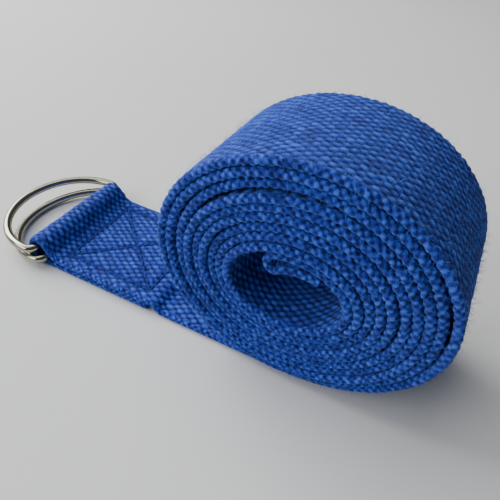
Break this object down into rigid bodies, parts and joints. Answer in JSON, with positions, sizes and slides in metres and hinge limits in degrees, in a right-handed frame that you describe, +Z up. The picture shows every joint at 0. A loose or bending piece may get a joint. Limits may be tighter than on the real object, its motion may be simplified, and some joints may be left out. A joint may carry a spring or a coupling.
{
  "type": "stretching strap",
  "caption": "Flat cotton webbing strap rolled up on its edge, its free flat end sewn into a loop that holds a pair of metal D-rings for cinching.",
  "frame": {"origin": "on the ground under the middle of the object's bounding box", "axes": "+X from the D-rings to the roll, along the strap; +Y across the webbing's width, away from the roll's seen face; +Z up"},
  "size_m": [0.1397, 0.0442, 0.0628],
  "materials": {
    "webbing": "royal blue cotton, coarse plain weave, soft matt with a slight fuzz",
    "thread": "royal blue sewing thread, matt",
    "nickel": "nickel-plated steel wire, polished, slightly warm"
  },
  "bodies": {
    "roll": {"webbing_roll": "webbing", "hem_stitch": "thread"},
    "tail": {"webbing_tail": "webbing", "webbing_loop": "webbing", "webbing_lap": "webbing", "box_stitch": "thread"},
    "ring_upper": {"ring_upper": "nickel"},
    "ring_lower": {"ring_lower": "nickel"}
  },
  "joints": [
    {"name": "tail_lift", "type": "hinge", "parent": "roll", "child": "tail", "pos_m": [0.0106, 0, 0.00175], "axis": [0, 1, 0], "range_deg": [0, 40]},
    {"name": "ring_upper_swing", "type": "hinge", "parent": "tail", "child": "ring_upper", "pos_m": [-0.04775, 0, 0.00575], "axis": [0, 1, 0], "range_deg": [0, 120]},
    {"name": "ring_lower_swing", "type": "hinge", "parent": "tail", "child": "ring_lower", "pos_m": [-0.0447, 0, 0.0032], "axis": [0, 1, 0], "range_deg": [0, 4.5]}
  ]
}
